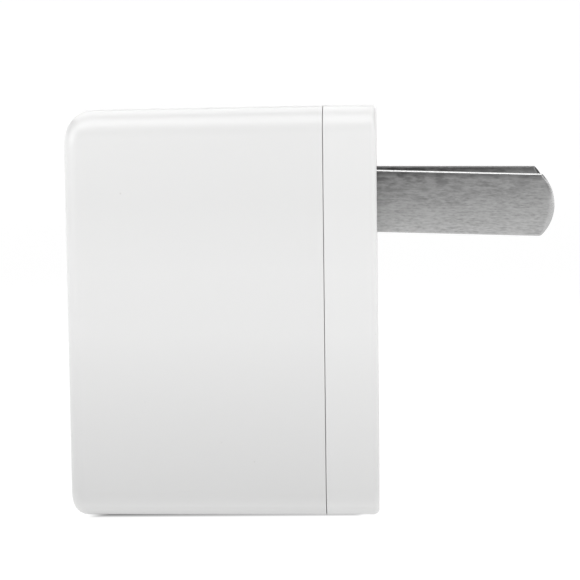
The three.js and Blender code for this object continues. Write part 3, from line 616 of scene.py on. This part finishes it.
class Paint:
    """A material under construction: short calls that add nodes and link them."""

    def __init__(self, name):
        self.material = bpy.data.materials.new(name)
        self.material.use_nodes = True
        self.tree = self.material.node_tree
        self.shader = self.tree.nodes["Principled BSDF"]
        self.place = self.node("ShaderNodeTexCoord").outputs["Object"]

    def node(self, kind, **settings):
        """Adds a node, and sets its own settings."""
        made = self.tree.nodes.new(kind)
        for key, value in settings.items():
            setattr(made, key, value)
        return made

    def link(self, source, target):
        self.tree.links.new(source, target)

    def noise(self, scale, detail=3.0, stretch=(1, 1, 1)):
        """Noise with features about 1 / scale metres across. stretch under 1 draws it out along an axis."""
        mapping = self.node("ShaderNodeMapping")
        mapping.inputs["Scale"].default_value = stretch
        self.link(self.place, mapping.inputs["Vector"])
        made = self.node("ShaderNodeTexNoise")
        made.inputs["Scale"].default_value = scale
        made.inputs["Detail"].default_value = detail
        self.link(mapping.outputs["Vector"], made.inputs["Vector"])
        return made.outputs["Fac"]

    def specks(self, scale, size):
        """1 inside small scattered dots, and 0 between them."""
        made = self.node("ShaderNodeTexVoronoi")
        made.inputs["Scale"].default_value = scale
        self.link(self.place, made.inputs["Vector"])
        return self.ramp(made.outputs["Distance"], size, 0.0, size * 0.55, 1.0)

    def ramp(self, source, high, high_value, low, low_value):
        """Maps source from low..high to low_value..high_value, held outside that span."""
        made = self.node("ShaderNodeMapRange")
        made.inputs["From Min"].default_value = low
        made.inputs["From Max"].default_value = high
        made.inputs["To Min"].default_value = low_value
        made.inputs["To Max"].default_value = high_value
        self.link(source, made.inputs["Value"])
        return made.outputs["Result"]

    def mix(self, share, first, second):
        """first where share is 0, second where it is 1. Colours may be triples or sockets."""
        made = self.node("ShaderNodeMix", data_type="RGBA")
        self.link(share, made.inputs["Factor"])
        for key, value in (("A", first), ("B", second)):
            target = [i for i in made.inputs if i.name == key and i.type == "RGBA"][0]
            if isinstance(value, tuple):
                target.default_value = (*value, 1.0)
            else:
                self.link(value, target)
        return [o for o in made.outputs if o.type == "RGBA"][0]

    def math(self, operation, first, second=0.0):
        """A maths node's result. first and second may be numbers or sockets."""
        made = self.node("ShaderNodeMath", operation=operation)
        for target, value in zip(made.inputs, (first, second)):
            if isinstance(value, (int, float)):
                target.default_value = value
            else:
                self.link(value, target)
        return made.outputs[0]

    def times(self, *factors):
        """The product of numbers and sockets, of which the first is a socket."""
        product = factors[0]
        for factor in factors[1:]:
            product = self.math("MULTIPLY", product, factor)
        return product

    def cloud(self, scale, detail=3.0, high=0.7, low=0.3, most=1.0, stretch=(1, 1, 1)):
        """Soft noise as a share from 0 to most, for mixing two colours."""
        return self.ramp(self.noise(scale, detail, stretch), high, most, low, 0.0)

    def axes(self):
        """The place's x, y and z."""
        split = self.node("ShaderNodeSeparateXYZ")
        self.link(self.place, split.inputs["Vector"])
        return [split.outputs[axis] for axis in "XYZ"]

    def bump(self, height, distance, strength=1.0, under=None):
        """Adds a bump, distance metres high, on top of under."""
        made = self.node("ShaderNodeBump")
        made.inputs["Strength"].default_value = strength
        made.inputs["Distance"].default_value = distance
        self.link(height, made.inputs["Height"])
        if under is not None:
            self.link(under, made.inputs["Normal"])
        self.link(made.outputs["Normal"], self.shader.inputs["Normal"])
        return made.outputs["Normal"]

    def set(self, **values):
        """Sets or links the shader's inputs, by name with underscores for spaces."""
        for key, value in values.items():
            target = self.shader.inputs[key.replace("_", " ")]
            if isinstance(value, tuple):
                target.default_value = (*value, 1.0)
            elif isinstance(value, (int, float)):
                target.default_value = value
            else:
                self.link(value, target)


def casing_tone_and_painted_light(paint):
    """The casing's colour, with painted light across its middle, painted shade towards its foot, and whiter on the
    cover.
    """
    x, _, z = paint.axes()
    colour = paint.mix(paint.cloud(70, 2, 0.75, 0.25), (0.728, 0.728, 0.725), (0.733, 0.733, 0.731))
    # Painted light: a paler band across the middle of the height.
    middle = paint.ramp(z, 0.77 * HEIGHT, 0.0, 0.6 * HEIGHT, 1.0)
    colour = paint.mix(middle, colour, (0.768, 0.768, 0.766))
    # Painted shade: greyer towards the foot.
    lower = paint.ramp(z, 0.45 * HEIGHT, 0.0, 0.0, 1.0)
    colour = paint.mix(lower, colour, (0.627, 0.627, 0.625))
    # Painted shade: darker still at the very foot, where the floor's shadow falls.
    foot = paint.ramp(z, 1.3 * MM, 0.0, 0.3 * MM, 0.55)
    colour = paint.mix(foot, colour, (0.5, 0.5, 0.498))
    cover = paint.ramp(x, SEAM_X, 0.1, SEAM_X - 0.1 * MM, 0.0)
    return paint.mix(cover, colour, (0.95, 0.95, 0.948))


def casing_plastic():
    """Polished white polycarbonate with faint flow marks, a little dust, painted light and shade in its colour,
    and a slightly wavy gloss.
    """
    paint = Paint("casing_plastic")
    dust = paint.times(paint.specks(420, 0.05), paint.cloud(160, 2, 0.62, 0.55), 0.35)
    colour = paint.mix(dust, casing_tone_and_painted_light(paint), (0.5, 0.49, 0.47))
    rough = paint.ramp(paint.noise(160, 2), 0.7, 0.3, 0.3, 0.28)
    paint.set(Base_Color=colour, Roughness=rough, IOR=1.58, Specular_IOR_Level=0.5)
    wave = paint.bump(paint.noise(60, 1), 0.012 * MM, 0.4)
    paint.bump(paint.noise(5200, 2), 0.0015 * MM, 0.6, wave)
    return paint.material


def plug_plastic():
    """The rotor's and cradle's plainer white moulding, a little duller than the casing."""
    paint = Paint("plug_plastic")
    colour = paint.mix(paint.cloud(210), (0.76, 0.76, 0.75), (0.8, 0.8, 0.79))
    paint.set(Base_Color=colour, Roughness=paint.ramp(paint.noise(500, 3), 0.7, 0.42, 0.3, 0.33))
    paint.bump(paint.noise(4200, 3), 0.003 * MM, 0.6)
    return paint.material


BLADE_TOP = PIVOT.z + BLADE_WIDTH / 2
TIP_SLOPE_X = BLADE_SWING - TIP_R + math.sqrt(TIP_R ** 2 - (BLADE_WIDTH / 2) ** 2)


def grey(level):
    return (level, level, level)


def level_with_blade(paint):
    """Turns the paint's coordinates with each blade's droop. Returns the distance along it and the height."""
    x, y, z = paint.axes()
    along = paint.math("SUBTRACT", x, PIVOT.x)
    slope = paint.ramp(y, BLADE_Y, math.tan(BLADE_DROOP["blade_left"]),
                       -BLADE_Y, math.tan(BLADE_DROOP["blade_right"]))
    height = paint.math("ADD", z, paint.times(slope, along))
    level = paint.node("ShaderNodeCombineXYZ")
    for axis, value in (("X", along), ("Y", y), ("Z", height)):
        paint.link(value, level.inputs[axis])
    paint.place = level.outputs["Vector"]
    return along, height


def blade_face_and_painted_shade(paint, brush, streak, blotch, along, height):
    """The brushed nickel, with scratches, painted shade that grows towards the upper edge and the root, dark
    blotches that grow with it, and a painted shadow line under the upper edge.
    """
    scratch = paint.cloud(7000, 3, 0.64, 0.42, 0.5, (0.025, 1, 1))
    colour = paint.mix(paint.ramp(brush, 0.68, 1.0, 0.32, 0.0), (0.33, 0.33, 0.328), (0.53, 0.53, 0.528))
    colour = paint.mix(scratch, colour, grey(0.56))
    colour = paint.mix(paint.ramp(streak, 0.64, 0.45, 0.44, 0.0), colour, grey(0.6))
    # Painted shade: darker metal towards the upper edge and the root, strongest at the root.
    root = paint.ramp(along, BLADE_SWING, 0.62, REAR_X - PIVOT.x, 0.95)
    painted_shade = paint.times(paint.ramp(height, BLADE_TOP, 1.0, BLADE_TOP - BLADE_WIDTH, 0.0), root)
    colour = paint.mix(paint.times(painted_shade, 0.85), colour, grey(0.17))
    # Dark blotches, which grow with the painted shade.
    fleck = paint.times(paint.ramp(blotch, 0.6, 0.75, 0.42, 0.0), painted_shade, painted_shade)
    colour = paint.mix(fleck, colour, grey(0.05))
    # Painted shadow: a dark line just under the upper edge, stronger towards the root.
    rim = paint.times(paint.ramp(height, BLADE_TOP - 0.3 * MM, 0.5, BLADE_TOP - 0.65 * MM, 0.0), root)
    return paint.mix(rim, colour, grey(0.05))


def blade_bevels_and_painted_light(paint, colour, edge, far, along, height):
    """Adds the bevels: brighter metal, a painted highlight on the near blade's top bevel and painted shade on the
    far blade's, and painted shade on each tip's upper slope.
    """
    colour = paint.mix(paint.times(edge, 0.8), colour, grey(0.46))
    # Painted highlight on the near blade's top bevel, and painted shade on the far blade's.
    painted_crest = paint.times(edge, paint.ramp(height, BLADE_TOP - 0.15 * MM, 0.95, BLADE_TOP - 0.4 * MM, 0.0))
    colour = paint.mix(painted_crest, colour, paint.mix(far, grey(0.85), grey(0.15)))
    # Painted shade on the upper slope of each tip's bevel, nearly black on the far blade.
    past_corner = paint.ramp(along, TIP_SLOPE_X + 0.1 * MM, 1.0, TIP_SLOPE_X, 0.0)
    upper = paint.ramp(height, BLADE_TOP - 1.2 * MM, 1.0, BLADE_TOP - 2.6 * MM, 0.0)
    return paint.mix(paint.times(past_corner, upper, edge), colour, paint.mix(far, grey(0.2), grey(0.03)))


def blade_metal():
    """Nickel plate brushed along the blade, with painted shade towards its upper edge, and brighter stamped edges
    that carry painted highlight and shade.
    """
    paint = Paint("blade_metal")
    y = paint.axes()[1]
    # 1 on the far blade and 0 on the near one; it gives the near blade the painted highlight and the far blade the
    # painted shade.
    far = paint.ramp(y, BLADE_Y, 1.0, -BLADE_Y, 0.0)
    off_middle = paint.math("ABSOLUTE", paint.math("SUBTRACT", paint.math("ABSOLUTE", y), BLADE_Y))
    edge = paint.ramp(off_middle, BLADE_THICKNESS / 2, 0.0, BLADE_THICKNESS / 2 - 0.04 * MM, 1.0)
    along, height = level_with_blade(paint)
    brush = paint.noise(9500, 3, (0.22, 1, 1))
    streak = paint.noise(4600, 4, (0.4, 1, 1.2))
    blotch = paint.noise(1900, 6, (0.5, 1, 1.4))
    colour = blade_face_and_painted_shade(paint, brush, streak, blotch, along, height)
    colour = blade_bevels_and_painted_light(paint, colour, edge, far, along, height)
    rough = paint.math("SUBTRACT", paint.ramp(streak, 0.7, 0.46, 0.3, 0.34), paint.times(edge, 0.12))
    paint.set(Base_Color=colour, Metallic=1.0, Roughness=rough)
    grain = paint.bump(brush, 0.005 * MM, 0.7)
    paint.bump(blotch, 0.012 * MM, 0.35, grain)
    return paint.material


def mottled(name, dark, light, rough, scale=400, metallic=0.0, bump=0.004, stretch=(1, 1, 1)):
    """A plain part's material: two close colours in soft cloud, uneven gloss and a fine surface."""
    paint = Paint(name)
    colour = paint.mix(paint.cloud(scale, stretch=stretch), dark, light)
    gloss = paint.noise(scale * 2.3, 2, stretch)
    roughness = paint.ramp(gloss, 0.7, min(rough * 1.2, 1.0), 0.3, rough * 0.85)
    paint.set(Base_Color=colour, Roughness=roughness, Metallic=metallic)
    paint.bump(paint.noise(scale * 8, 2, stretch), bump * MM, 0.7)
    return paint.material


def board_green():
    """Solder mask over copper: broad tracks show as a lighter green."""
    paint = Paint("board_green")
    tracks = paint.node("ShaderNodeTexBrick")
    tracks.inputs["Scale"].default_value = 260
    tracks.inputs["Mortar Size"].default_value = 0.03
    turned = paint.node("ShaderNodeMapping")
    turned.inputs["Rotation"].default_value = (math.pi / 2, 0, 0)
    paint.link(paint.place, turned.inputs["Vector"])
    paint.link(turned.outputs["Vector"], tracks.inputs["Vector"])
    mask = paint.ramp(tracks.outputs["Fac"], 1.0, 1.0, 0.0, 0.0)
    colour = paint.mix(mask, (0.025, 0.16, 0.07), (0.06, 0.27, 0.13))
    colour = paint.mix(paint.cloud(900, most=0.5), colour, (0.02, 0.12, 0.06))
    paint.set(Base_Color=colour, Roughness=paint.ramp(paint.noise(700, 2), 0.7, 0.42, 0.3, 0.3))
    paint.bump(mask, 0.03 * MM, 0.5)
    return paint.material


TARNISH = (0.5, 0.45, 0.35)  # on a banded part of metal


def banded(name, base, band, period, axis, share, rough, metallic=0.0):
    """Rings or turns: bands of a second colour every period metres along an axis."""
    paint = Paint(name)
    wave = paint.node("ShaderNodeTexWave", wave_type="BANDS", bands_direction=axis)
    wave.inputs["Scale"].default_value = math.pi / 10 / period
    wave.inputs["Distortion"].default_value = 0.4
    paint.link(paint.place, wave.inputs["Vector"])
    colour = paint.mix(paint.ramp(wave.outputs["Fac"], share + 0.1, 1.0, share, 0.0), base, band)
    colour = paint.mix(paint.cloud(600, most=0.25), colour, TARNISH if metallic else base)
    roughness = paint.ramp(paint.noise(900, 2), 0.7, rough * 1.2, 0.3, rough * 0.85)
    paint.set(Base_Color=colour, Roughness=roughness, Metallic=metallic)
    paint.bump(wave.outputs["Fac"], 0.04 * MM, 0.6)
    return paint.material


def make_materials():
    """Every material, by its slot in the record."""
    return {
        "casing_plastic": casing_plastic(),
        "plug_plastic": plug_plastic(),
        "blade_metal": blade_metal(),
        "spring_metal": mottled(
            "spring_metal", (0.55, 0.36, 0.16), (0.68, 0.48, 0.25), 0.32, 900, 1.0, 0.004, (0.3, 1, 1)),
        "steel": mottled("steel", (0.5, 0.5, 0.51), (0.62, 0.62, 0.63), 0.3, 1100, 1.0),
        "socket_metal": mottled(
            "socket_metal", (0.56, 0.565, 0.57), (0.7, 0.7, 0.705), 0.27, 700, 1.0, 0.004, (0.15, 1, 1)),
        "socket_plastic": mottled("socket_plastic", (0.74, 0.74, 0.72), (0.8, 0.8, 0.78), 0.42, 500),
        "gold_plate": mottled("gold_plate", (0.75, 0.5, 0.17), (0.86, 0.62, 0.26), 0.22, 1200, 1.0, 0.003),
        "board": board_green(),
        "ferrite": mottled("ferrite", (0.018, 0.018, 0.02), (0.05, 0.05, 0.053), 0.7, 2600, 0.0, 0.02),
        "bobbin_plastic": mottled("bobbin_plastic", (0.012, 0.012, 0.013), (0.03, 0.03, 0.032), 0.5, 900),
        "winding_tape": banded("winding_tape", (0.72, 0.5, 0.03), (0.8, 0.6, 0.08), 2.4 * MM, "X", 0.5, 0.35),
        "copper": banded("copper", (0.34, 0.1, 0.03), (0.6, 0.24, 0.09), 0.3 * MM, "Y", 0.4, 0.3, 0.9),
        "capacitor_sleeve": banded(
            "capacitor_sleeve", (0.012, 0.013, 0.02), (0.12, 0.13, 0.15), 40 * MM, "Z", 0.86, 0.35),
        "capacitor_green": banded(
            "capacitor_green", (0.01, 0.06, 0.065), (0.2, 0.28, 0.27), 40 * MM, "X", 0.86, 0.35),
        "chip_plastic": mottled(
            "chip_plastic", (0.01, 0.01, 0.011), (0.026, 0.026, 0.028), 0.6, 1500, 0.0, 0.012),
        "disc_ceramic": mottled("disc_ceramic", (0.01, 0.07, 0.3), (0.025, 0.13, 0.42), 0.35, 500, 0.0, 0.02),
        "resistor_coat": mottled("resistor_coat", (0.2, 0.2, 0.17), (0.3, 0.3, 0.27), 0.6, 1200, 0.0, 0.02),
        "wire_red": mottled("wire_red", (0.4, 0.012, 0.01), (0.52, 0.03, 0.025), 0.4, 800),
        "wire_black": mottled("wire_black", (0.01, 0.01, 0.01), (0.03, 0.03, 0.03), 0.4, 800),
        "barrier_fibre": mottled(
            "barrier_fibre", (0.6, 0.56, 0.44), (0.7, 0.67, 0.56), 0.8, 1500, 0.0, 0.02, (1, 0.4, 1)),
    }


MATERIALS = make_materials()
SLOT_OF = {part["node"]: part["material_slot"] for part in frame["record"]["subparts"]}
BODY_OF = {node: body for body, nodes in frame["record"]["behaviour"]["bodies"].items() for node in nodes}


# ---------------------------------------------------------------- assembly

def stand_for(piece, node):
    """The piece takes a CAD node's place, body and material."""
    slot = SLOT_OF[node]
    piece.data.materials.clear()
    piece.data.materials.append(MATERIALS[slot])
    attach(piece, BODY_OF[node])
    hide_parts(node)


def keep(node, edge=0.08 * MM):
    """A CAD node keeps its shape, and gets softened edges and its material."""
    made = frame["nodes"][node]
    made.data.materials.clear()
    made.data.materials.append(MATERIALS[SLOT_OF[node]])
    bevel = made.modifiers.new("softened edges", "BEVEL")
    bevel.width = edge
    bevel.segments = 2
    bevel.limit_method = "ANGLE"
    bevel.angle_limit = math.radians(40)
    smooth(made, 40)


DETAILED = {
    "front_shell": make_front_shell(),
    "rear_cover": make_rear_cover(),
    "blade_rotor": make_rotor(),
    "blade_left": make_blade("blade_left"),
    "blade_right": make_blade("blade_right"),
    "usb_socket_shell": make_socket_shell(),
    "usb_socket_insulator": make_insulator(),
}
DETAILED.update({f"usb_contact_{index}": make_contact(index) for index in CONTACTS})
for detailed_node, detailed_piece in DETAILED.items():
    stand_for(detailed_piece, detailed_node)
for plain_node in sorted(set(frame["nodes"]) - set(DETAILED)):
    keep(plain_node)


# ---------------------------------------------------------------- studio

WORLD_STRENGTH = 0.05
FLOOR_GLOW = 0.95
FLOOR_DROP = 0.02 * MM  # below the charger's foot
GLOW_STARTS = -4.0 * MM  # from the edge of the charger's foot; inwards is negative
GLOW_FULL = -1.6 * MM
FLOOR_RADIUS = 1.2
FLOOR_BEND_R = 0.3
FLOOR_WALL_TOP = 0.36
FLOOR_STEPS = 96


def floor_white():
    """Plain pale, partly self-lit, with its glow held back under the charger so that a soft shadow shows."""
    paint = Paint("floor_white")
    x, y, _ = paint.axes()
    beyond = [paint.math("SUBTRACT", paint.math("ABSOLUTE", value), half)
              for value, half in ((x, REAR_X), (y, HALF_WIDTH))]
    glow = paint.ramp(paint.math("MAXIMUM", *beyond), GLOW_FULL, FLOOR_GLOW, GLOW_STARTS, 0.0)
    paint.set(Base_Color=paint.mix(paint.cloud(3, 2), grey(0.14), grey(0.16)), Roughness=0.9,
              Emission_Color=grey(1.0), Emission_Strength=glow)
    return paint.material


def make_floor():
    """A pale floor that curves up into a wall all the way round."""
    profile = [(radius, 0.0) for radius in (0.02, 0.3, FLOOR_RADIUS)]
    profile += [(FLOOR_RADIUS + FLOOR_BEND_R * math.sin(a), FLOOR_BEND_R * (1 - math.cos(a)))
                for a in arc(12)[1:]]
    profile.append((FLOOR_RADIUS + FLOOR_BEND_R, FLOOR_WALL_TOP))
    points = [(0.0, 0.0, 0.0)]
    for radius, height in profile:
        for i in range(FLOOR_STEPS):
            a = 2 * math.pi * i / FLOOR_STEPS
            points.append((radius * math.cos(a), radius * math.sin(a), height))
    faces = [(0, 1 + i, 1 + (i + 1) % FLOOR_STEPS) for i in range(FLOOR_STEPS)]
    for k in range(len(profile) - 1):
        inner, outer = 1 + k * FLOOR_STEPS, 1 + (k + 1) * FLOOR_STEPS
        for i in range(FLOOR_STEPS):
            j = (i + 1) % FLOOR_STEPS
            faces.append((inner + i, outer + i, outer + j, inner + j))
    floor = new_object("floor", points, faces)
    floor.location.z = -FLOOR_DROP
    floor.data.shade_smooth()
    floor.data.materials.append(floor_white())


LIGHT_TARGET = (0.0, 0.0, 0.02)
LIGHTS = {  # place, size and watts
    "near_high": ((0.0, -0.05, 0.14), (0.26, 0.07), 0.084),
    "near_low": ((0.0, -0.035, 0.082), (0.2, 0.03), 0.017),
    "back_top": ((0.0, 0.12, 0.2), (0.3, 0.16), 0.238),
    "back_low": ((0.0, 0.25, 0.12), (0.3, 0.1), 0.062),
    "side_left": ((-0.3, -0.2, 0.12), (0.2, 0.14), 0.223),
    "side_right": ((0.3, -0.2, 0.12), (0.2, 0.14), 0.286),
    "corner": ((-0.05, -0.018, 0.054), (0.02, 0.02), 0.0026),
}


def add_light(name, place, size, watts):
    """A soft rectangular light that points at the charger and doesn't show to the camera."""
    lamp = bpy.data.lights.new(name, "AREA")
    lamp.shape = "RECTANGLE"
    lamp.size, lamp.size_y = size
    lamp.energy = watts
    made = bpy.data.objects.new(name, lamp)
    made.location = place
    made.rotation_mode = "QUATERNION"
    made.rotation_quaternion = (Vector(LIGHT_TARGET) - Vector(place)).to_track_quat("-Z", "Y")
    made.visible_camera = False
    bpy.context.scene.collection.objects.link(made)


def make_world():
    """A faint even white from all round."""
    world = bpy.data.worlds.new("studio")
    world.use_nodes = True
    background = world.node_tree.nodes["Background"]
    background.inputs["Color"].default_value = (1.0, 1.0, 1.0, 1.0)
    background.inputs["Strength"].default_value = WORLD_STRENGTH
    bpy.context.scene.world = world


CAMERA = {"azimuth": 2.05, "elevation": 4.16, "roll": 0.665, "distance": 276.8 * MM, "lens": 162.5}
TARGET = Vector((6.465 * MM, 0.0, 22.19 * MM))


def make_camera():
    """A long lens, nearly square on to the side, a little above it and slightly rolled."""
    turn, tilt = math.radians(CAMERA["azimuth"]), math.radians(CAMERA["elevation"])
    back = Vector((math.sin(turn) * math.cos(tilt), -math.cos(turn) * math.cos(tilt), math.sin(tilt)))
    lens = bpy.data.cameras.new("camera")
    lens.sensor_width = 36
    lens.lens = CAMERA["lens"]
    lens.clip_start = 0.01
    camera = bpy.data.objects.new("camera", lens)
    camera.location = TARGET + back * CAMERA["distance"]
    camera.rotation_mode = "QUATERNION"
    roll = Matrix.Rotation(-math.radians(CAMERA["roll"]), 3, "Z").to_quaternion()
    camera.rotation_quaternion = (-back).to_track_quat("-Z", "Y") @ roll
    bpy.context.scene.collection.objects.link(camera)
    bpy.context.scene.camera = camera


make_floor()
make_world()
make_camera()
for light_name, settings in LIGHTS.items():
    add_light(light_name, *settings)
bpy.context.scene.view_settings.view_transform = "Standard"
